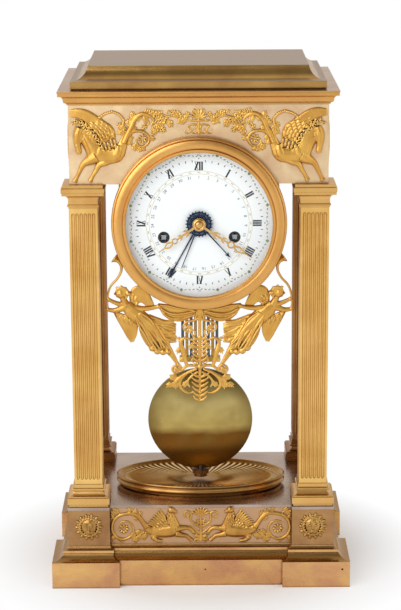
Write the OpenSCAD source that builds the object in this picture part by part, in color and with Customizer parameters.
// Portico clock with a gridiron pendulum, in millimetres.
// X runs to the right, the front faces -Y, Z is up and the clock stands on Z = 0.

/* [Pillars] */
// Distance between pillar centres across the front
pillar_span_x = 205.6; // [190:0.2:230]
// Distance between pillar centres from front to back
pillar_span_y = 129.6; // [115:0.2:150]
// Side of the square shafts
shaft_w = 25.5; // [22:0.5:30]
// Height of the shafts
shaft_h = 257.6; // [220:0.2:300]
// Wall of the hollow shafts
shaft_wall = 3.5; // [2.5:0.1:5]
// Flutes on each face of a shaft
flute_n = 6; // [4:1:8]
// Radius of one flute
flute_r = 1.45; // [1:0.05:1.7]
// Plain stretch of shaft beyond each end of the flutes
flute_stop = 6; // [4:0.5:12]
// Side of the square pedestals, base plates and abaci
pedestal_w = 38.4; // [34:0.2:44]
// Height of a pillar base
pillar_base_h = 20.5; // [18:0.5:26]
// Height of a capital up to the top of its abacus
capital_h = 18.5; // [16:0.5:24]
// Thin set-back neck under each base and over each capital
neck_h = 2.8; // [1.5:0.1:4]
// How far that neck stands back
neck_in = 1.2; // [0.6:0.1:2]

/* [Base] */
// Height of the flat face of the plinth
plinth_h = 24.5; // [18:0.5:32]
// How far the plinth stands out from the body
plinth_step = 14.5; // [11:0.5:18]
// How far a corner block stands out on its inner sides
inner_step = 9; // [8:0.5:12]
// Height of the cavetto over the plinth
cavetto_h = 5.9; // [4:0.1:8]
// Height of the fillet over the cavetto
fillet_h = 2.6; // [1.5:0.1:4]
// Radius of the small cove under the body
cove_r = 2.7; // [1.5:0.1:4]
// Height of the base body over its mouldings
body_h = 37.3; // [30:0.1:46]
// How far the stretches between the corner blocks stand back
recess = 6.5; // [4:0.5:9]
// Wall of the hollow base
base_wall = 4; // [3:0.5:6]
// Thickness of the polished top plate of the base
base_top_t = 3; // [2:0.5:5]
// Thickness of the iron closing plate under the base
closing_t = 2; // [1.5:0.5:3]
// How far the closing plate lies up inside the plinth
closing_up = 1; // [0.5:0.5:3]

/* [Entablature] */
// Height of the entablature
ent_h = 70.8; // [60:0.2:84]
// How far its faces stand in from the outer faces of the shafts
ent_in = 1; // [0:0.5:3]
// Wall of the hollow entablature
ent_wall = 4; // [3:0.5:6]
// Floor of the entablature over the capitals
ent_floor = 4; // [3:0.5:6]
// Height of the cornice
cornice_h = 12.4; // [10:0.2:16]
// How far the cornice stands out from the entablature
cornice_out = 9; // [8:0.5:12]
// Height of the attic
attic_h = 19.6; // [16:0.2:26]
// How far the attic stands in from the entablature
attic_in = 2; // [1:0.5:4]
// Height of the upright band at the foot of the attic
attic_band = 7.3; // [5:0.1:9]
// Run of the concave slope of the attic
attic_slope = 14; // [10:0.5:16]

/* [Drum and dial] */
// How far the dial centre lies below the entablature
dial_drop = 35.3; // [30:0.1:40]
// Outer radius of the drum
drum_r = 73; // [68:0.5:76]
// Wall of the drum
drum_wall = 2; // [1.5:0.1:3]
// How far the drum stands out of the entablature at front and back
drum_out = 2.4; // [2:0.1:4]
// Outer radius of the bezel
bezel_r = 78; // [76:0.5:81]
// Radius of the opening in the bezel
sight_r = 65; // [61:0.5:66]
// Depth of the bezel from back to front
bezel_d = 10; // [9.5:0.1:12]
// Thickness of the domed glass
glass_t = 1.4; // [1:0.1:2]
// Rise of the glass dome
glass_rise = 7; // [6.5:0.5:9]
// Distance from the drum's front edge back to the dial's face
dial_back = 1.5; // [1:0.1:2.5]
// Thickness of the enamel dial
dial_t = 2; // [1.5:0.1:3]
// Distance of the winding holes from the middle, across
wind_x = 31.5; // [31:0.1:34]
// Distance of the winding holes below the middle
wind_drop = 12.7; // [10:0.1:16]
// Radius of the winding holes
wind_hole_r = 5.3; // [4.5:0.1:6]
// Side of the winding squares
wind_square = 4.2; // [3.6:0.1:4.8]

/* [Hands] */
// Length of the minute hand
minute_len = 56; // [50:0.5:60]
// Length of the hour hand
hour_len = 44; // [38:0.5:48]
// Length of the long blued month hand
month_len = 57; // [50:0.5:60]
// Length of the blued date hand
date_len = 43.5; // [38:0.5:46]
// Length of the blued weekday hand
week_len = 41; // [36:0.5:46]

/* [Pendulum] */
// Height of the swing axis over the dial centre
swing_rise = 47; // [46:0.5:50]
// Radius of the bob
bob_r = 49; // [42:0.5:54]
// Thickness of the bob in its middle
bob_t = 15; // [10:0.5:18]
// Height of the bob's lowest point over the base top
bob_clear = 15; // [14:0.5:22]
// Distance of the pendulum behind the back plate
pendulum_back = 10; // [10:0.5:12]
// Half the width of the gridiron between its outer rods
grid_half = 16; // [14:0.5:18]
// Radius of the gridiron rods
grid_rod_r = 1.4; // [1.1:0.1:1.6]
// Radius of the single pendulum rod
rod_r = 2; // [1.5:0.1:2.2]
// Height of the gridiron's cross bars
grid_bar_h = 5; // [4:0.5:7]

/* [Dish] */
// Half the width of the oval dish
dish_a = 79.5; // [70:0.5:82]
// Half the depth of the oval dish
dish_b = 44; // [38:0.5:48]
// Height of its rim over the base top
dish_h = 11; // [9:0.5:14]
// Flutes in the dish
dish_flutes = 60; // [40:2:72]

/* [Movement] */
// Radius of the movement plates
plate_r = 62; // [61:0.5:64]
// Thickness of the movement plates
plate_t = 2.5; // [2:0.1:3.5]
// Space between the movement plates
plate_gap = 34.5; // [33:0.5:38]
// Space between dial plate and front plate
motion_gap = 9.5; // [9:0.5:12]
// Thickness of the dial plate
dial_plate_t = 1.5; // [1:0.1:2]
// Radius of the bell
bell_r = 30; // [26:0.5:32]

/* [Fits] */
// Radial clearance of a part that turns in its hole
run_fit = 0.05; // [0.02:0.01:0.08]
// Clearance of a fixed part in its hole
loose_fit = 0.3; // [0.2:0.05:0.4]
// Least distance of the mounts from drum and bezel
mount_gap = 1; // [0.5:0.1:3]

/* [Shown] */
// Name of the one piece to draw, or all

/* [Hidden] */
$fn = 64;

px = pillar_span_x / 2;
py = pillar_span_y / 2;
pw = pedestal_w / 2;
sw = shaft_w / 2;
bx = px + pw;
by = py + pw;
ex = px + sw - ent_in;
ey = py + sw - ent_in;
plinth_lip = 0.8;
fillet_out = 4.2;
fillet_in = 3;
z_fillet = plinth_h + cavetto_h;
z_body = z_fillet + fillet_h + cove_r;
z_base = z_body + body_h;
z_shaft = z_base + pillar_base_h;
z_cap = z_shaft + shaft_h;
z_ent = z_cap + capital_h + neck_h;
z_corn = z_ent + ent_h;
z_attic = z_corn + cornice_h;
zd = z_ent - dial_drop;
z_swing = zd + swing_rise;
tie_r = 2.5;
nut_h = 4;

y_drum = -(ey + drum_out);
y_dial = y_drum + dial_back;
y_plate = y_dial + dial_t;
y_front = y_plate + dial_plate_t + motion_gap;
y_gap = y_front + plate_t;
y_back = y_gap + plate_gap;
y_rear = y_back + plate_t;
y_pend = y_rear + pendulum_back;
z_bob = z_base + bob_clear + bob_r;

// Wheel train: tooth counts, modules and arbor places, measured from the dial centre
barrel_n = 96;
centre_pin_n = 12;
centre_n = 96;
third_pin_n = 8;
third_n = 80;
escape_pin_n = 8;
cannon_n = 24;
minute_n = 72;
minute_pin_n = 12;
hour_n = 48;
barrel_c = [wind_x, -wind_drop];
barrel_m = norm(barrel_c) * 2 / (barrel_n + centre_pin_n);
third_d = 21.84;
centre_m = third_d * 2 / (centre_n + third_pin_n);
escape_d = 17.6;
third_m = escape_d * 2 / (third_n + escape_pin_n);
escape_rise = 30;
third_z = (third_d * third_d - escape_d * escape_d + escape_rise * escape_rise) / (2 * escape_rise);
third_c = [sqrt(third_d * third_d - third_z * third_z), third_z];
escape_c = [0, escape_rise];
motion_d = 19.2;
minute_c = motion_d * [-0.8, 0.6];
cannon_m = motion_d * 2 / (cannon_n + minute_n);
hour_m = motion_d * 2 / (minute_pin_n + hour_n);
arbor_r = 1.2;
pivot_r = 1;
centre_hole_r = 5.4;

hinge_r = 1.8;
hinge_x = drum_r + hinge_r + 0.4;
hinge_y = -y_drum - hinge_r - 0.3;
bezel_w = bezel_r - sight_r;
glass_r = sight_r + bezel_w * 0.285;
glass_seat = 4.2;
hinge_pin_r = 0.8;
hinge_len = 6;

// Flat piece drawn as seen from the front, with its front face at y
module sheet(y, t) translate([0, y + t, 0]) rotate([90, 0, 0]) linear_extrude(t) children();

// The same, drawn round the dial centre
module dial_sheet(y, t) translate([0, y + t, zd]) rotate([90, 0, 0]) linear_extrude(t) children();

// Round bar along Y at a place measured from the dial centre
module bar_y(c, y0, y1, r) translate([c[0], y0, zd + c[1]]) rotate([-90, 0, 0]) cylinder(h = y1 - y0, r = r);

// Upright round bar
module bar_z(x, y, z0, z1, r) translate([x, y, z0]) cylinder(h = z1 - z0, r = r);

// Block centred on the Z axis
module block(hx, hy, z0, z1) translate([-hx, -hy, z0]) cube([2 * hx, 2 * hy, z1 - z0]);

// Same piece at the four pillars
module at_pillars() for (i = [-1, 1]) for (j = [-1, 1]) translate([i * px, j * py, 0]) children();

// Piece and its mirror image across the middle
module pair() for (i = [0, 1]) mirror([i, 0, 0]) children();

// Profile pushed along Y, and pushed along X, to meet in mitred corners
module along_y() rotate([90, 0, 0]) linear_extrude(600, center = true) children();
module along_x() rotate([90, 0, 90]) linear_extrude(600, center = true) children();

// Smooth run through a few points or widths
function spline(a, b, c, d, t) = 0.5 * (2 * b + (c - a) * t + (2 * a - 5 * b + 4 * c - d) * t * t
    + (3 * b - a - 3 * c + d) * t * t * t);
function run(p, n) = concat([for (i = [0:len(p) - 2]) for (k = [0:n - 1])
    spline(p[max(i - 1, 0)], p[i], p[i + 1], p[min(i + 2, len(p) - 1)], k / n)], [p[len(p) - 1]]);

// Band of changing width along a smooth run
module band(p, w, n = 4) {
    q = run(p, n);
    s = run(w, n);
    m = len(q) - 1;
    side = [for (i = [0:m]) let (d = q[min(i + 1, m)] - q[max(i - 1, 0)]) [-d[1], d[0]] / norm(d)];
    polygon(concat([for (i = [0:m]) q[i] + side[i] * s[i] / 2], [for (i = [m:-1:0]) q[i] - side[i] * s[i] / 2]));
}

// Spiral band from radius r0 at angle a0 to radius r1 at angle a1
module scroll(c, r0, r1, a0, a1, w0, w1) {
    k = ceil(abs(a1 - a0) / 30);
    band([for (i = [0:k]) let (f = i / k, a = a0 + (a1 - a0) * f) c + (r0 + (r1 - r0) * f) * [cos(a), sin(a)]],
        [for (i = [0:k]) w0 + (w1 - w0) * i / k], 2);
}

// Pointed leaf from a to b
module leaf(a, b, w, bend = 0) {
    d = b - a;
    mid = (a + b) / 2 + bend * [-d[1], d[0]] / norm(d);
    band([a, mid, b], [0.9, w, 0.4], 5);
}

// Fan of leaves round a point
module fan(c, r, n, a0, a1, w) for (i = [0:n - 1]) {
    a = a0 + (a1 - a0) * i / (n - 1);
    leaf(c, c + r * [cos(a), sin(a)], w);
}

// Toothed wheel with one tooth pointing along X
module teeth(n, m) {
    r = m * n / 2;
    q = 90 / n;
    polygon([for (i = [0:n - 1]) for (e = [[-1.3, -0.7], [0, -0.7], [0.7, -0.3], [0.7, 0.3], [0, 0.7], [-1.3, 0.7]])
        let (a = 360 * i / n + e[1] * q) (r + e[0] * m) * [cos(a), sin(a)]]);
}

// Wheel with crossings cut out between hub and rim
module crossed(n, m, spokes, hub_r, hole_r) difference() {
    teeth(n, m);
    difference() {
        circle(m * n / 2 - 3 * m - 0.8);
        circle(hub_r);
        for (i = [0:spokes - 1]) rotate(360 * i / spokes + 90) translate([-hub_r * 0.3, 0]) square([hub_r * 0.6, m * n]);
    }
    circle(hole_r);
}

// Angle from one arbor to another
function way(a, b) = atan2(b[1] - a[1], b[0] - a[0]);

// Half of the stepped profile of plinth and moulding
module base_side(h, step, fil) {
    dx = step - plinth_lip - fil;
    r = (dx * dx + cavetto_h * cavetto_h) / (2 * cavetto_h);
    square([h + step, plinth_h]);
    difference() {
        translate([0, plinth_h]) square([h + step - plinth_lip, cavetto_h]);
        translate([h + step - plinth_lip, plinth_h + r]) circle(r);
    }
    translate([0, z_fillet]) square([h + fil + 0.6, fillet_h]);
    difference() {
        translate([0, z_fillet + fillet_h]) square([h + cove_r + 0.4, cove_r]);
        translate([h + cove_r + 0.4, z_body]) circle(cove_r);
    }
}

module base_profile(h, step_l, fil_l) {
    base_side(h, plinth_step, fillet_out);
    mirror([1, 0]) base_side(h, step_l, fil_l);
}

module plinth() color("darkgoldenrod") difference() {
    union() {
        intersection() {
            along_y() base_profile(bx - recess, plinth_step, fillet_out);
            along_x() base_profile(by - recess, plinth_step, fillet_out);
        }
        for (i = [0, 1]) for (j = [0, 1]) mirror([i, 0, 0]) mirror([0, j, 0]) translate([px, py, 0]) intersection() {
            along_y() base_profile(pw, inner_step, fillet_in);
            along_x() base_profile(pw, inner_step, fillet_in);
        }
    }
    block(bx - recess - base_wall, by - recess - base_wall, -1, z_body + 1);
}

module base_plate() color("dimgray")
    block(bx - recess - base_wall, by - recess - base_wall, closing_up, closing_up + closing_t);

// Cross-shaped plan of the base body: a block set back between four pedestals
module base_plan(z0, z1) {
    block(bx - recess, by - recess, z0, z1);
    at_pillars() block(pw, pw, z0, z1);
}

module base_body() color("goldenrod") difference() {
    base_plan(z_body, z_base - base_top_t);
    block(bx - recess - base_wall, by - recess - base_wall, z_body - 1, z_base);
}

module base_top() color("khaki") difference() {
    base_plan(z_base - base_top_t, z_base);
    at_pillars() bar_z(0, 0, 0, z_shaft, tie_r + loose_fit);
}

// Profile of a pillar base: neck, plate, fillet, scotia, bead and swept foot of the shaft
module pillar_base_profile() {
    z1 = neck_h + 6;
    z2 = z1 + 1.4;
    z3 = z2 + 4.4;
    z4 = z3 + 2.2;
    translate([-pw + neck_in, 0]) square([2 * (pw - neck_in), neck_h]);
    translate([-pw, neck_h]) square([2 * pw, z1 - neck_h]);
    translate([-pw + 1, z1]) square([2 * pw - 2, z2 - z1]);
    difference() {
        translate([-pw + 1.6, z2]) square([2 * pw - 3.2, z3 - z2]);
        for (s = [-1, 1]) translate([s * (pw - 1.6), z3]) circle(4.4);
    }
    translate([-sw - 1.2, z3]) square([2 * sw + 2.4, z4 - z3]);
    for (s = [-1, 1]) translate([s * (sw + 1.2), (z3 + z4) / 2]) circle((z4 - z3) / 2);
    translate([-sw - 0.6, z4]) square([2 * sw + 1.2, pillar_base_h - z4]);
}

module pillar_bases() color("goldenrod") translate([0, 0, z_base]) at_pillars() difference() {
    intersection() {
        along_y() pillar_base_profile();
        along_x() pillar_base_profile();
    }
    bar_z(0, 0, -1, pillar_base_h + 1, tie_r + loose_fit);
}

// Hollow shaft with round-ended flutes on its four faces
module shaft() difference() {
    block(sw, sw, z_shaft, z_cap);
    block(sw - shaft_wall, sw - shaft_wall, z_shaft - 1, z_cap + 1);
    for (q = [0:3]) rotate(90 * q) for (k = [1:flute_n]) {
        x = -sw + k * shaft_w / (flute_n + 1);
        bar_z(x, -sw - 0.2, z_shaft + flute_stop, z_cap - flute_stop, flute_r);
        for (z = [z_shaft + flute_stop, z_cap - flute_stop]) translate([x, -sw - 0.2, z]) sphere(flute_r);
    }
}

module shafts_front() color("gold") pair() translate([px, -py, 0]) shaft();
module shafts_rear() color("gold") pair() translate([px, py, 0]) shaft();

// Profile of a capital: bead, neck, cavetto, two fascias and the set-back neck on top
module capital_profile() {
    z1 = 1.4;
    z2 = z1 + 2;
    z3 = z2 + 3.8;
    z4 = z3 + pw - sw - 1.6;
    z5 = z4 + 2.6;
    translate([-sw - 0.4, 0]) square([2 * sw + 0.8, z3]);
    for (s = [-1, 1]) translate([s * (sw + 0.4), (z1 + z2) / 2]) circle(1);
    difference() {
        translate([-pw + 1.2, z3]) square([2 * pw - 2.4, z4 - z3]);
        for (s = [-1, 1]) translate([s * (pw - 1.2), z3]) circle(pw - sw - 1.6);
    }
    translate([-pw + 0.6, z4]) square([2 * pw - 1.2, z5 - z4]);
    translate([-pw, z5]) square([2 * pw, capital_h - z5]);
    translate([-pw + neck_in, capital_h]) square([2 * (pw - neck_in), neck_h]);
}

module capitals() color("goldenrod") translate([0, 0, z_cap]) at_pillars() difference() {
    intersection() {
        along_y() capital_profile();
        along_x() capital_profile();
    }
    bar_z(0, 0, -1, capital_h + neck_h + 1, tie_r + loose_fit);
}

module tie_rods() color("gray") at_pillars()
    bar_z(0, 0, z_base - base_top_t - nut_h - 1, z_ent + ent_floor + nut_h + 1, tie_r);

module tie_nuts() color("dimgray") at_pillars() for (z = [z_base - base_top_t - nut_h, z_ent + ent_floor])
    difference() {
        translate([0, 0, z]) cylinder(h = nut_h, r = 5, $fn = 6);
        bar_z(0, 0, z - 1, z + nut_h + 1, tie_r + loose_fit);
    }

module entablature() color("burlywood") difference() {
    block(ex, ey, z_ent, z_corn);
    block(ex - ent_wall, ey - ent_wall, z_ent + ent_floor, z_corn + 1);
    bar_y([0, 0], -ey - 1, ey + 1, drum_r + loose_fit);
    at_pillars() bar_z(0, 0, z_ent - 1, z_corn, tie_r + loose_fit);
}

// Profile of the cornice: fillet, ovolo, cavetto, fascia and thin top edge
module cornice_profile(h) {
    o = cornice_out;
    difference() {
        union() {
            translate([-h - 1.2, 0]) square([2 * h + 2.4, 1.2]);
            translate([-h - 1.4, 1.2]) square([2 * h + 2.8, 2.8]);
            for (s = [-1, 1]) translate([s * (h + 1.4), 4]) circle(2.6);
            translate([-h - o + 1, 4]) square([2 * (h + o - 1), o - 5]);
        }
        for (s = [-1, 1]) translate([s * (h + o - 1), 4]) circle(o - 5);
    }
    translate([-h - o + 0.5, o - 1]) square([2 * (h + o) - 1, cornice_h - o - 0.4]);
    translate([-h - o, cornice_h - 1.4]) square([2 * (h + o), 1.4]);
}

module cornice() color("goldenrod") translate([0, 0, z_corn]) difference() {
    intersection() {
        along_y() cornice_profile(ex);
        along_x() cornice_profile(ey);
    }
    block(ex - ent_wall, ey - ent_wall, -1, cornice_h - ent_floor);
}

// Profile of the attic: set-back foot, upright band and concave slope to the flat top
module attic_profile(h) {
    dz = attic_h - attic_band;
    r = (attic_slope * attic_slope + dz * dz) / (2 * dz);
    translate([-h + 1.4, 0]) square([2 * h - 2.8, 1.2]);
    translate([-h, 1.2]) square([2 * h, attic_band - 1.2]);
    difference() {
        translate([-h + 1, attic_band]) square([2 * h - 2, dz]);
        for (s = [-1, 1]) translate([s * (h - 1), attic_band + r]) circle(r);
    }
}

module attic() color("peru") translate([0, 0, z_attic]) difference() {
    intersection() {
        along_y() attic_profile(ex - attic_in);
        along_x() attic_profile(ey - attic_in);
    }
    block(ex - attic_in - attic_slope - 6, ey - attic_in - attic_slope - 6, -1, attic_h - 4);
}

// Oval dish: rings of points round the middle, with flutes pressed into its floor
dish_ring = [[0.05, 4.2, 0], [0.24, 4.5, 0.6], [0.55, 5.6, 1], [0.86, 8, 1], [0.91, 9.4, 0], [0.935, 11, 0],
    [0.97, 11, 0], [1, 9.4, 0], [0.992, 6, 0], [0.93, 4.4, 0], [0.72, 0, 0], [0.6, 0, 0], [0.05, 2, 0]];
function dish_point(e, a) = [dish_a * e[0] * cos(a), dish_b * e[0] * sin(a),
    e[1] * dish_h / 11 - e[2] * 0.7 * (1 + cos(a * dish_flutes))];

module dish() color("gold") translate([0, y_pend, z_base]) {
    n = dish_flutes * 4;
    m = len(dish_ring);
    polyhedron([for (e = dish_ring) for (i = [0:n - 1]) dish_point(e, 360 * i / n)],
        [for (j = [0:m - 1]) for (i = [0:n - 1]) for (h = [0, 1])
            let (a = j * n + i, b = j * n + (i + 1) % n, c = ((j + 1) % m) * n + i, d = ((j + 1) % m) * n + (i + 1) % n)
            h == 0 ? [a, c, b] : [b, c, d]]);
}

// Sun mask: rays, ring and a plain domed face
module sun_masks() color("gold") pair() translate([px, -by, (z_body + z_base) / 2]) rotate([90, 0, 0]) {
    linear_extrude(1.4) for (i = [0:23]) rotate(15 * i) polygon([[9, -1.5], [13.2, 0], [9, 1.5]]);
    linear_extrude(1) circle(10);
    rotate_extrude() translate([9, 1]) circle(1);
    intersection() {
        translate([0, 0, -6]) sphere(10);
        linear_extrude(5) circle(7.6);
    }
    linear_extrude(4.6) polygon([[-0.6, 2], [0.6, 2], [1.1, -1.4], [-1.1, -1.4]]);
    linear_extrude(3.9) translate([-1.6, -3.6]) square([3.2, 0.9]);
    for (s = [-1, 1]) linear_extrude(3.7) translate([s * 2.6 - 0.9, 1.2]) square([1.8, 0.8]);
}

// Base relief, seen from the front, measured from the foot of the base body
module griffin_low() {
    band([[30, 16], [38, 27], [49, 34]], [6, 8, 1.5]);
    band([[32, 14], [41, 22], [53, 28]], [6, 7, 1.5]);
    band([[34, 12], [43, 17], [53, 22]], [6, 6, 1.5]);
    band([[44, 9], [52, 12], [56, 22], [63, 30.5], [73, 31.6], [80, 25], [81.4, 13]], [11, 7, 5, 3.6, 3, 2.6, 2.6]);
    scroll([71, 13.6], 10.4, 3.2, 2, -510, 2.6, 1.6);
    translate([71, 13.6]) circle(3.2);
    leaf([50, 9], [58, 2.2], 5, 1);
    leaf([47, 8], [51, 1.4], 4.5);
    leaf([63, 30.4], [58.6, 35.6], 3.5);
    leaf([56, 22], [63, 27.5], 3.6);
    leaf([75, 31], [82, 34.4], 3.6);
}

module griffin_high() {
    band([[21, 13], [33, 12], [46, 9.5]], [11, 14, 11]);
    band([[27, 14], [28, 24], [26, 31]], [10, 7, 6]);
    translate([25.5, 31]) circle(3.4);
    leaf([25, 32], [19.6, 29.4], 3.2);
    leaf([27, 32], [29, 36], 2.4);
    band([[23, 10], [14, 9], [7.8, 3]], [6, 3.4, 2]);
    band([[27, 8], [21, 4.4], [15, 2.6]], [6, 3.4, 2]);
    band([[41, 9], [45, 5], [44, 1.6]], [6, 4.4, 2.6]);
}

module griffins() color("gold") translate([0, 0, z_body]) pair() {
    sheet(-by + recess - 2.6, 2.6) griffin_low();
    sheet(-by + recess - 4.2, 4.2) griffin_high();
}

module base_plant() color("gold") translate([0, 0, z_body]) sheet(-by + recess - 2.6, 2.6) {
    band([[0, 2], [0, 28]], [3, 1.8]);
    fan([0, 25], 10.5, 5, 40, 140, 3);
    pair() {
        band([[0, 5], [5, 15], [8.6, 25.4]], [2.4, 2.4, 2]);
        scroll([12.6, 27], 4.6, 1.2, 210, -250, 2, 1.3);
        leaf([3, 11], [10, 15.5], 3.4);
        leaf([1, 6], [6, 10.5], 2.6);
    }
}

// Frieze relief, seen from the front, measured from the foot of the entablature
module horse_low() {
    band([[78, 38], [84, 54], [96, 63.5], [111, 65]], [9, 10, 8, 1.2]);
    band([[80, 37], [88, 49], [99, 57], [112, 58]], [8, 9, 6, 1.2]);
    band([[82, 36], [90, 45], [100, 50], [110, 50]], [8, 8, 6, 1.2]);
    leaf([82, 54], [66, 60], 6, 5);
    leaf([80, 50], [74, 67.5], 6, -2);
    leaf([78, 44], [67, 52], 6, 2);
    band([[72, 30], [63, 39], [60, 52], [52, 63], [43, 61], [39, 52]], [15, 10, 7, 5, 4.2, 2.4]);
    scroll([49.5, 43], 9.5, 2, 170, -380, 3.2, 1.8);
    translate([49.5, 43]) circle(2.6);
    leaf([44, 61], [28, 65.5], 6, 2);
    leaf([42, 58], [24, 57.5], 6, 1);
    leaf([40, 54], [29, 48.5], 5, -1);
    leaf([53, 62], [60, 67], 4.4);
    leaf([58, 55], [68, 45.5], 4);
    band([[30, 58], [22, 62], [15.5, 56], [19, 51.5]], [2.4, 2.4, 2, 1.2]);
    leaf([24, 61], [18, 67.5], 3.6);
    band([[94, 24], [87, 15.5], [92, 8], [95.5, 2.6]], [8, 5, 3, 3.4]);
}

module horse_high() {
    band([[66, 30], [78, 30], [92, 29]], [17, 23, 19]);
    band([[90, 30], [98, 40], [105, 50.5]], [20, 13, 7]);
    band([[104.5, 52], [107.5, 42], [105.5, 28.5]], [6, 8.4, 4.6]);
    leaf([104, 52], [105, 57.5], 2.4);
    band([[97, 24], [102.5, 18.5], [106, 10], [110.5, 3]], [9, 5.5, 3.4, 3.6]);
    for (k = [0:4]) leaf([101 - 2.4 * k, 48 - 4 * k], [96 - 2.6 * k, 51 - 4 * k], 3);
}

// Frieze relief cut clear of the bezel
module frieze_mount() difference() {
    translate([0, 0, z_ent]) children();
    bar_y([0, 0], -ey - 9, -ey + 1, max(drum_r, bezel_r) + mount_gap);
}

module horses() color("gold") frieze_mount() pair() {
    sheet(-ey - 1.9, 1.9) horse_low();
    sheet(-ey - 3.2, 3.2) horse_high();
}

module frieze_palmette() color("gold") frieze_mount() sheet(-ey - 1.9, 1.9) {
    band([[0, 46], [0, 62]], [2.6, 1.8]);
    fan([0, 58], 11, 5, 35, 145, 3);
    band([[-10, 53.8], [10, 53.8]], [1.8, 1.8]);
    pair() {
        scroll([8.4, 57.4], 3.4, 1.2, 265, -60, 1.7, 1.2);
        scroll([4.6, 48.6], 3.2, 1.4, 140, 460, 1.5, 1.1);
        scroll([10.4, 50.4], 3.2, 1.3, 105, 425, 1.5, 1.1);
    }
}

// Palmette and scrolls on each short side of the entablature
module side_mounts() color("gold") pair() translate([ex, 0, z_ent + 9]) rotate([90, 0, 90]) {
    linear_extrude(3) {
        fan([0, 8], 44, 7, 40, 140, 8);
        pair() {
            band([[0, 6], [24, 1], [48, 6], [65, 21], [66, 40], [60, 52]], [8, 5.6, 5, 4.4, 4, 1.6]);
            scroll([52, 29], 12.6, 3, -10, 430, 3.2, 2);
            translate([52, 29]) circle(3.4);
            leaf([50, 5], [66, 5], 5, 1);
            leaf([30, 2], [36, 14], 4);
        }
    }
    linear_extrude(4) translate([0, 7]) circle(7);
}

// Height from which the mounts under the drum are drawn; the drum's lowest point lies 75 below it
z_figures = zd - drum_r + 75;

// Winged figure with a curved trumpet, seen from the front
module fame_low() {
    band([[61, -82], [58, -70], [51, -68.5], [44, -78]], [10, 12, 10, 3]);
    band([[46, -81], [36, -82], [21, -85.5], [4.2, -85.5]], [5, 8, 10, 8]);
    band([[66, -85], [67, -97], [63, -115]], [15, 12, 1.6]);
    band([[44, -92], [33, -97], [20.5, -95]], [9, 9, 2]);
    band([[42, -97], [31, -103], [20, -103]], [8, 9, 2]);
    band([[40, -103], [31, -110], [19.8, -113]], [8, 8, 3]);
    band([[82.6, -83], [83, -73], [80.5, -63], [71.6, -53], [70.2, -46], [73.6, -39]], [2.4, 2, 2, 2, 2.2, 3]);
    polygon([[72, -41.2], [73.2, -31], [80.2, -39.6], [75, -41.4]]);
}

module fame_high() {
    band([[65, -82], [57, -90], [46, -97], [37, -106]], [10, 16, 17, 14]);
    translate([71.5, -69.5]) circle(5);
    translate([66.5, -67.6]) circle(3.4);
    band([[70.5, -71], [65, -80]], [4.4, 7]);
    band([[64, -83], [72, -83.5], [82.5, -82]], [6, 4.4, 2.8]);
    band([[66, -80], [74, -78], [82, -73]], [4.4, 3.4, 2.4]);
    band([[41, -103], [34, -112], [26, -124], [20.4, -133.6]], [15, 11, 5.5, 3.2]);
    band([[46, -102], [44, -112], [39, -119]], [12, 12, 7]);
}

module fame_figures() color("gold") difference() {
    translate([0, 0, z_figures]) pair() intersection() {
        union() {
            sheet(y_mount + 2, 3) fame_low();
            sheet(y_mount, 5) fame_high();
        }
        translate([4.2, y_mount - 1, -200]) cube([100, 8, 200]);
    }
    bar_y([0, 0], y_mount - 2, y_mount + 8, drum_r + mount_gap);
}

module candelabrum() color("gold") translate([0, 0, z_figures]) {
    sheet(y_mount + 2, 3) {
        translate([-4.2, -93]) square([8.4, 18 - loose_fit]);
        band([[0, -90], [0, -140], [0, -170]], [3, 2.6, 2]);
        for (k = [0:5]) pair() leaf([0, -132 + 4 * k], [6.5, -127 + 4 * k], 2.2);
        for (k = [0:4]) pair() leaf([0, -169 + 5 * k], [5.5 + 0.4 * k, -164.5 + 5 * k], 2.6);
        band([[-8, -112], [0, -109.5], [8, -112]], [1.6, 2.6, 1.6]);
        pair() {
            band([[0, -91], [5, -93.6], [10, -94.8]], [2.4, 2, 1.8]);
            scroll([10, -100.4], 5.6, 1.4, 90, -330, 1.9, 1.4);
            band([[8, -111.6], [13, -110], [17, -113], [15, -122], [12, -136]], [1.8, 2.4, 3, 5.4, 3]);
            band([[0, -137], [6, -136], [12, -136.6], [17, -141]], [3, 2.6, 2.6, 2.2]);
            scroll([21.6, -140], 4.8, 1.2, 190, -330, 2, 1.3);
            scroll([5.6, -131.6], 3.2, 1.2, 270, -60, 1.6, 1.2);
            band([[3, -139], [14, -145], [18.6, -154], [12, -161.6], [5, -161]], [2.6, 2.4, 2.6, 2.4, 1.4]);
            band([[13, -143.6], [20, -149], [27.4, -157]], [2.4, 4.6, 1]);
            leaf([19, -148], [28.5, -149.5], 3.6);
            leaf([21, -150], [21, -158], 3.4);
        }
    }
    translate([-3, y_mount + 5, -79 - loose_fit]) cube([6, 8, 4]);
}
y_mount = y_drum + 10;

module drum() color("tan") {
    difference() {
        bar_y([0, 0], y_drum, -y_drum, drum_r);
        bar_y([0, 0], y_drum - 1, y_plate + dial_plate_t, drum_r - drum_wall);
        bar_y([0, 0], y_plate, -y_drum + 1, drum_r - drum_wall - 4);
        bar_y([0, 0], y_plate + dial_plate_t + 2, -y_drum + 1, drum_r - drum_wall);
        translate([-slot_half, y_pend - 8, zd - drum_r - 1]) cube([2 * slot_half, 16, 20]);
    }
    for (s = [-1, 1]) drum_knuckle(s, hinge_len / 2 + 0.2, hinge_len * 1.5);
    for (s = [-1, 1]) drum_knuckle(s, -hinge_len * 1.5, -hinge_len / 2 - 0.2);
}
slot_half = grid_half + grid_rod_r + 10;

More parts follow.
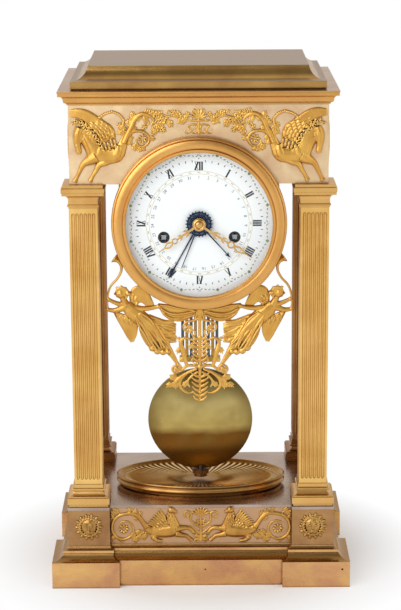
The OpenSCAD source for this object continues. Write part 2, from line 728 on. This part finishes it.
// Knuckle on the drum's side, hidden behind the rim of bezel or door; s is -1 in front and 1 at the back
module drum_knuckle(s, z0, z1) translate([0, 0, zd]) difference() {
    union() {
        bar_z(hinge_x, s * hinge_y, z0, z1, hinge_r);
        translate([drum_r - 1, s * hinge_y - (s + 1) * hinge_r / 2, z0]) cube([hinge_x - drum_r + 1, hinge_r, z1 - z0]);
    }
    bar_z(hinge_x, s * hinge_y, z0 - 1, z1 + 1, hinge_pin_r + run_fit);
    translate([0, y_drum, 0]) rotate([-90, 0, 0]) cylinder(h = -2 * y_drum, r = drum_r - 0.5);
}

// Knuckle on the back of bezel or door, with the arm that holds it; t is how far the arm reaches into them
module door_knuckle(s, t) translate([0, 0, zd]) difference() {
    union() {
        bar_z(hinge_x, s * hinge_y, -hinge_len / 2, hinge_len / 2, hinge_r);
        translate([hinge_x - hinge_r, s > 0 ? hinge_y : y_drum - t, -hinge_len / 2])
            cube([2 * hinge_r, -y_drum - hinge_y + t, hinge_len]);
        translate([bezel_r - 5, s > 0 ? -y_drum : y_drum - t, -hinge_len / 2])
            cube([max(hinge_x + hinge_r - bezel_r + 5, 1), t, hinge_len]);
    }
    bar_z(hinge_x, s * hinge_y, -hinge_len, hinge_len, hinge_pin_r + run_fit);
}

module hinge_pins() color("gray") translate([0, 0, zd]) for (s = [-1, 1])
    bar_z(hinge_x, s * hinge_y, -hinge_len * 1.5, hinge_len * 1.5, hinge_pin_r);

// Bezel profile from radius and height: back band, outer bead, broad round and inner lip over the glass
module bezel_profile() {
    half = bezel_w * 0.32;
    round_r = max(bezel_d - 0.4, (half * half + 1) / 2);
    difference() {
        union() {
            translate([sight_r, 0]) square([bezel_w - 1, 4]);
            translate([bezel_r - 1.6, 3]) circle(1.6);
            translate([bezel_r - 3.2, 0]) square([3.2, 3]);
            intersection() {
                translate([(sight_r + bezel_r) / 2, bezel_d - 1.2 - round_r]) circle(round_r);
                translate([sight_r + bezel_w * 0.17, 0]) square([2 * half, bezel_d]);
            }
            translate([sight_r, 0]) square([bezel_w * 0.2, bezel_d - 0.4]);
        }
        translate([0, -1]) square([glass_r + loose_fit, glass_seat + glass_t + 2.2]);
        translate([sight_r - 0.6, bezel_d]) circle(1.4);
    }
}

module bezel() color("orange") {
    translate([0, y_drum, zd]) rotate([90, 0, 0]) rotate_extrude() bezel_profile();
    door_knuckle(-1, 2);
}

// Domed glass held behind the inner lip of the bezel
module bezel_glass() color("lightblue") translate([0, y_drum, zd]) rotate([90, 0, 0]) {
    ball = (glass_r * glass_r + glass_rise * glass_rise) / (2 * glass_rise);
    rotate_extrude() intersection() {
        difference() {
            translate([0, glass_seat + glass_t + glass_rise - ball]) circle(ball, $fn = 200);
            translate([0, glass_seat + glass_rise - ball]) circle(ball, $fn = 200);
        }
        translate([0, glass_seat - 1]) square([glass_r, glass_rise + glass_t + 2]);
    }
}

module rear_door() color("orange") {
    translate([0, -y_drum, zd]) rotate([-90, 0, 0]) rotate_extrude() {
        square([bezel_r - 2, 2]);
        translate([bezel_r - 2, 1.6]) circle(1.6);
        translate([bezel_r - 3.6, 0]) square([3.2, 1.6]);
        translate([0, 2]) square([4, 3]);
    }
    door_knuckle(1, 1.5);
}

// Holes for the hands and the two winding keys
module dial_holes() {
    circle(centre_hole_r);
    for (s = [-1, 1]) translate([s * wind_x, -wind_drop]) circle(wind_hole_r);
}

module dial() color("white") dial_sheet(y_dial, dial_t) difference() {
    circle(drum_r - drum_wall - 1);
    dial_holes();
}

module dial_plate() color("tan") {
    dial_sheet(y_plate, dial_plate_t) difference() {
        circle(drum_r - drum_wall - loose_fit);
        dial_holes();
    }
    for (c = foot_places) bar_y(c, y_plate + dial_plate_t, y_front, 2.2);
}
foot_places = [for (a = [50, 130, 230, 310]) (plate_r - 8) * [cos(a), sin(a)]];

post_places = [[48, 28], [-48, 28], [18, -52], [-18, -52]];

// Round plate drilled for the pivots
module movement_plate(y, centre_bore, wind_bore) difference() {
    bar_y([0, 0], y, y + plate_t, plate_r);
    bar_y([0, 0], y - 1, y + plate_t + 1, centre_bore + run_fit);
    for (c = [third_c, escape_c]) bar_y(c, y - 1, y + plate_t + 1, pivot_r + run_fit);
    bar_y([0, swing_rise], y - 1, y + plate_t + 1, arbor_r + run_fit);
    for (s = [-1, 1]) bar_y([s * wind_x, -wind_drop], y - 1, y + plate_t + 1, wind_bore + run_fit);
}

module front_plate() color("khaki") {
    movement_plate(y_front, arbor_r, 3);
    bar_y(minute_c, y_front - 7, y_front, pivot_r);
}

module back_plate() color("khaki") {
    movement_plate(y_back, arbor_r, 2);
    bar_y(hammer_c, y_rear, y_bell + 8, 2);
}
hammer_c = [-42, -20];
y_bell = y_pend + 16;

module plate_pillars() color("tan") for (c = post_places) {
    bar_y(c, y_gap, y_back, 2.6);
    bar_y(c, y_gap, y_gap + 3, 4);
    bar_y(c, y_back - 3, y_back, 4);
}

// Bracket on the back plate with the pin that carries the pendulum
module suspension_cock() color("khaki") {
    translate([-8, y_rear, z_swing + 5]) cube([16, y_pend + 5 - y_rear, 8]);
    for (y = [y_pend - 5, y_pend + 3]) translate([-5, y, z_swing - 3]) cube([10, 2, 8]);
    bar_y([0, swing_rise], y_pend - 5, y_pend + 5, 1);
}

module bell() color("silver") translate([0, y_bell, zd]) rotate([-90, 0, 0]) difference() {
    rotate_extrude() difference() {
        intersection() {
            scale(1) translate([0, -bell_r * 0.5]) circle(bell_r * 1.15);
            square([bell_r, bell_r]);
        }
        intersection() {
            translate([0, -bell_r * 0.5 - 2]) circle(bell_r * 1.15 - 0.6);
            translate([0, -1]) square([bell_r - 2, bell_r]);
        }
    }
    translate([0, 0, -1]) cylinder(h = bell_r * 2, r = 2.5 + loose_fit);
}
bell_top = bell_r * 0.65;

module bell_stand() color("tan") {
    bar_y(stand_c, y_rear, y_bell + bell_top + 3, 3);
    dial_sheet(y_bell + bell_top, 3) {
        band([stand_c, [0, 0]], [6, 6]);
        circle(5);
    }
    bar_y([0, 0], y_bell + bell_top - 6, y_bell + bell_top + 1, 2.5);
}
stand_c = [42, -25];

module hammer() color("gray") {
    difference() {
        union() {
            bar_y(hammer_c, y_bell + 1, y_bell + 7, 4);
            dial_sheet(y_bell + 2.5, 3) band([hammer_c, hammer_c + [2, 14], hammer_head], [4, 3, 3]);
            bar_y(hammer_head, y_bell, y_bell + 7, 4.5);
        }
        bar_y(hammer_c, y_bell, y_bell + 9, 2 + run_fit);
    }
}
hammer_head = [-bell_r - 7.4, 9];

// Going train
module centre_arbor() color("gray") {
    bar_y([0, 0], y_front - 4, y_rear - 0.4, arbor_r);
    dial_sheet(y_gap + 19.5, 4.5) rotate(way([0, 0], barrel_c) + 180 / centre_pin_n) teeth(centre_pin_n, barrel_m);
}

module centre_wheel() color("khaki") dial_sheet(y_gap + 25.5, 1.3) rotate(way([0, 0], third_c))
    crossed(centre_n, centre_m, 4, 4, arbor_r + loose_fit);

module third_wheel() color("khaki") {
    bar_y(third_c, y_front + 0.4, y_rear - 0.4, pivot_r);
    translate([third_c[0], 0, third_c[1]]) {
        dial_sheet(y_gap + 24.5, 3.3) rotate(way(third_c, [0, 0]) + 180 / third_pin_n) teeth(third_pin_n, centre_m);
        dial_sheet(y_gap + 29.5, 1.3) rotate(way(third_c, escape_c)) crossed(third_n, third_m, 4, 3.4, 0.5);
    }
}

// Escape wheel with thirty slanted teeth
module escape_wheel() color("khaki") {
    bar_y(escape_c, y_front + 0.4, y_rear - 0.4, pivot_r);
    translate([0, 0, escape_c[1]]) {
        dial_sheet(y_gap + 28.6, 3.2) rotate(way(escape_c, third_c) + 180 / escape_pin_n) teeth(escape_pin_n, third_m);
        dial_sheet(y_gap + 32.2, 1.2) difference() {
            union() {
                circle(9);
                for (i = [0:29]) rotate(12 * i) polygon([[8.8, -0.8], [11, 0.4], [11, 0.7], [8.8, 0.9]]);
            }
            difference() {
                circle(7.6);
                circle(2.6);
                for (i = [0:3]) rotate(90 * i) translate([-0.7, 0]) square([1.4, 9]);
            }
        }
    }
}

// Spring barrel turning on its winding arbor; y is the front face of its toothed end
module barrel(c, y, turn) difference() {
    union() {
        bar_y(c, y_gap + 1.5, y_gap + 23, barrel_m * barrel_n / 2 - 1.6);
        translate([c[0], 0, c[1]]) dial_sheet(y, 3.4) rotate(turn) teeth(barrel_n, barrel_m);
    }
    bar_y(c, y_gap, y_gap + 25, 3 + run_fit);
}

module going_barrel() color("khaki") barrel(barrel_c, y_gap + 19.6, way(barrel_c, [0, 0]));
module strike_barrel() color("khaki") barrel([-wind_x, -wind_drop], y_gap + 1.5, 0);

// Winding arbor with the square for the key
module winding_arbor(c) {
    translate([c[0] - wind_square / 2, y_dial + 0.6, zd + c[1] - wind_square / 2])
        cube([wind_square, y_front - 4 - y_dial, wind_square]);
    bar_y(c, y_front - 4, y_gap + 24, 3);
    bar_y(c, y_gap + 24, y_rear - 0.4, 2);
}

module going_arbor() color("silver") winding_arbor(barrel_c);
module strike_arbor() color("silver") winding_arbor([-wind_x, -wind_drop]);

// Motion work behind the dial, and the pipes that carry the hands, one inside the other
pipe_r = [1.9, 2.7, 3.5, 4.3, 5.1];
y_star = y_plate + dial_plate_t + 0.4;
y_hand = [y_dial - 6.8, y_dial - 5.4, y_dial - 3.6, y_dial - 2.4, y_dial - 1.2];

module pipe(k, y0, y1) difference() {
    bar_y([0, 0], y0, y1, pipe_r[k]);
    bar_y([0, 0], y0 - 1, y1 + 1, (k == 0 ? arbor_r : pipe_r[k - 1]) + run_fit);
}

module cannon_pinion() color("khaki") difference() {
    union() {
        bar_y([0, 0], y_hand[0] - 1.4, y_front - 0.5, pipe_r[0]);
        dial_sheet(y_front - 3.2, 2.4) rotate(way([0, 0], minute_c)) teeth(cannon_n, cannon_m);
    }
    bar_y([0, 0], y_hand[0] - 2, y_front, arbor_r + run_fit);
}

module minute_wheel() color("khaki") translate([minute_c[0], 0, minute_c[1]]) difference() {
    union() {
        dial_sheet(y_front - 3, 1.8) rotate(way(minute_c, [0, 0]) + 180 / minute_n) crossed(minute_n, cannon_m, 4, 4, 0.5);
        dial_sheet(y_front - 5.6, 2.6) rotate(way(minute_c, [0, 0])) teeth(minute_pin_n, hour_m);
    }
    bar_y([0, 0], y_front - 9, y_front, pivot_r + run_fit);
}

module hour_wheel() color("khaki") {
    pipe(1, y_hand[1], y_front - 3.8);
    dial_sheet(y_front - 5.2, 1.4) difference() {
        rotate(way([0, 0], minute_c) + 180 / hour_n) crossed(hour_n, hour_m, 4, 5, 0.5);
        circle(pipe_r[1] - 0.2);
    }
}

// Pierced gilt hand pointing up
module gilt_hand(len, boss, bore) difference() {
    union() {
        circle(boss);
        band([[0, 0], [0, len * 0.56]], [2.4, 1.5]);
        pair() leaf([0.3, len * 0.26], [2.8, len * 0.37], 1.7, -0.7);
        pair() leaf([0.3, len * 0.42], [2.2, len * 0.5], 1.5, -0.5);
        translate([0, len * 0.6]) circle(len * 0.062);
        band([[0, len * 0.63], [0, len * 0.75], [0, len * 0.87]], [1.6, 5.6, 1]);
        band([[0, len * 0.84], [0, len]], [1.2, 0.5]);
    }
    circle(bore);
    translate([0, len * 0.6]) circle(len * 0.038);
    band([[0, len * 0.68], [0, len * 0.75], [0, len * 0.82]], [0.5, 2.6, 0.5]);
}

// Gilt hand with the collet that grips its pipe
module collet_hand(k, turn, len, boss) difference() {
    union() {
        dial_sheet(y_hand[k], 0.8) rotate(turn) gilt_hand(len, boss, pipe_r[k] + loose_fit);
        bar_y([0, 0], y_hand[k], y_hand[k] + 1.1, boss - 2);
    }
    bar_y([0, 0], y_hand[k] - 1, y_hand[k] + 2, pipe_r[k] + loose_fit);
}

module minute_hand() color("gold") collet_hand(0, -123, minute_len, 5.9);
module hour_hand() color("gold") collet_hand(1, -235, hour_len, 5.4);

// Blued calendar hand, its pipe and its star behind the dial
module calendar_hand(k, points, star_r, y) {
    pipe(k, y_hand[k], y + 0.7);
    dial_sheet(y, 0.7) difference() {
        union() {
            circle(star_r * 0.86);
            for (i = [0:points - 1]) rotate(360 * i / points) polygon([[star_r * 0.7, -star_r * 0.7 * tan(180 / points)],
                [star_r, 0], [star_r * 0.7, star_r * 0.7 * tan(180 / points)]]);
        }
        circle(pipe_r[k] - 0.2);
    }
    dial_sheet(y_hand[k], 0.6) difference() {
        children();
        circle(pipe_r[k] - 0.2);
    }
}

module month_hand() color("navy") calendar_hand(4, 12, 15, y_star) rotate(-209) {
    circle(6.4);
    band([[0, 5], [0, month_len * 0.74], [0, month_len * 0.85], [0, month_len]], [1.5, 1, 2.6, 0.5]);
}

module date_hand() color("navy") calendar_hand(3, 31, 15, y_star + 1.1) rotate(-201.5) {
    circle(5.6);
    band([[0, 4], [0, date_len]], [1.3, 0.6]);
}

// The weekday hand also carries the toothed collar round the centre
module week_hand() color("navy") calendar_hand(2, 7, 14, y_star + 2.2) {
    circle(8.4);
    difference() {
        circle(11);
        circle(9.6);
    }
    for (i = [0:11]) rotate(30 * i) translate([8, -0.9]) square([2.4, 1.8]);
    for (i = [0:23]) rotate(15 * i) polygon([[10.6, -1.1], [12.4, 0], [10.6, 1.1]]);
    rotate(-138) {
        band([[0, 10], [0, week_len - 2]], [1.3, 0.8]);
        polygon([[0, week_len], [2, week_len - 5], [0, week_len - 4], [-2, week_len - 5]]);
    }
}

// Anchor, its arbor and the crutch that reaches down behind the back plate
module pallets() color("gray") {
    bar_y([0, swing_rise], y_front + 0.4, y_pend - 5.4, arbor_r);
    dial_sheet(y_gap + 32, 1.8) {
        translate([0, swing_rise]) circle(2.6);
        pair() band([[0, swing_rise], [7, swing_rise - 1.5], [11.6, swing_rise - 7.5]], [3.4, 2.6, 1.2]);
    }
    dial_sheet(y_rear + 1.4, 1.2) {
        translate([0, swing_rise]) circle(3.4);
        band([[0, swing_rise], [0, -8]], [3, 2.4]);
        translate([-4.6, -9]) square([9.2, 3]);
    }
    for (s = [-1, 1]) bar_y([s * (rod_r + loose_fit + 0.9), -7.5], y_rear + 1.4, y_pend + rod_r, 0.9);
}

// Block on the suspension pin, flat spring and the lower block that takes the rod
module suspension() color("tan") {
    difference() {
        translate([-4, y_pend - 2.6, z_swing - 6]) cube([8, 5.2, 9.4]);
        bar_y([0, swing_rise], y_pend - 4, y_pend + 4, 1 + run_fit);
    }
    translate([-3.4, y_pend - 0.3, z_swing - 17]) cube([6.8, 0.6, 12]);
    translate([-4, y_pend - 2.6, z_swing - 25]) cube([8, 5.2, 8]);
}

// Heights of the gridiron's upper and lower bars
z_grid_top = zd - 20;
z_grid_low = z_bob + bob_r + 7;
z_nut = z_base + bob_clear - 7.4;

module gridiron_steel() color("steelblue") {
    for (k = [-4, -2, 0, 2, 4])
        bar_z(k * grid_half / 4, y_pend, z_grid_low + grid_bar_h, z_grid_top - grid_bar_h, grid_rod_r);
    bar_z(0, y_pend, z_grid_top, z_swing - 25, rod_r);
    bar_z(0, y_pend, z_nut - 1, z_grid_low, rod_r);
}

module gridiron_brass() color("gold") {
    for (k = [-3, -1, 1, 3])
        bar_z(k * grid_half / 4, y_pend, z_grid_low + grid_bar_h, z_grid_top - grid_bar_h, grid_rod_r);
    for (z = [z_grid_low, z_grid_top - grid_bar_h])
        translate([-grid_half - 3, y_pend - 3.5, z]) cube([2 * grid_half + 6, 7, grid_bar_h]);
}

// Lens-shaped bob
module bob() color("darkkhaki") difference() {
    translate([0, y_pend, z_bob]) rotate([90, 0, 0]) rotate_extrude() {
        drop = bob_t / 2 - 1.5;
        ball = (bob_r * bob_r + drop * drop) / (2 * drop);
        intersection() {
            translate([0, bob_t / 2 - ball]) circle(ball, $fn = 200);
            translate([0, ball - bob_t / 2]) circle(ball, $fn = 200);
            translate([0, -bob_t]) square([bob_r, 2 * bob_t]);
        }
    }
    bar_z(0, y_pend, z_bob - bob_r - 1, z_bob + bob_r + 1, rod_r + loose_fit);
}

// Milled rating nut under the bob
module rating_nut() color("dimgray") difference() {
    union() {
        bar_z(0, y_pend, z_nut, z_nut + 3, 6.2);
        bar_z(0, y_pend, z_nut + 3, z_nut + 7, 7.8);
    }
    bar_z(0, y_pend, z_nut - 1, z_nut + 8, rod_r + loose_fit);
    for (i = [0:19]) rotate_about_pend(18 * i) bar_z(8.2, 0, z_nut + 2, z_nut + 8, 0.8);
}
module rotate_about_pend(a) translate([0, y_pend, 0]) rotate(a) children();

base_plate();
plinth();
base_body();
base_top();
pillar_bases();
shafts_front();
shafts_rear();
capitals();
tie_rods();
tie_nuts();
entablature();
cornice();
attic();
dish();
sun_masks();
griffins();
base_plant();
horses();
frieze_palmette();
side_mounts();
fame_figures();
candelabrum();
drum();
dial();
dial_plate();
front_plate();
back_plate();
plate_pillars();
suspension_cock();
bell();
bell_stand();
hinge_pins();
bezel();
bezel_glass();
rear_door();
centre_arbor();
centre_wheel();
third_wheel();
escape_wheel();
going_barrel();
strike_barrel();
going_arbor();
strike_arbor();
cannon_pinion();
minute_hand();
minute_wheel();
hour_wheel();
hour_hand();
month_hand();
date_hand();
week_hand();
hammer();
pallets();
suspension();
gridiron_steel();
gridiron_brass();
bob();
rating_nut();
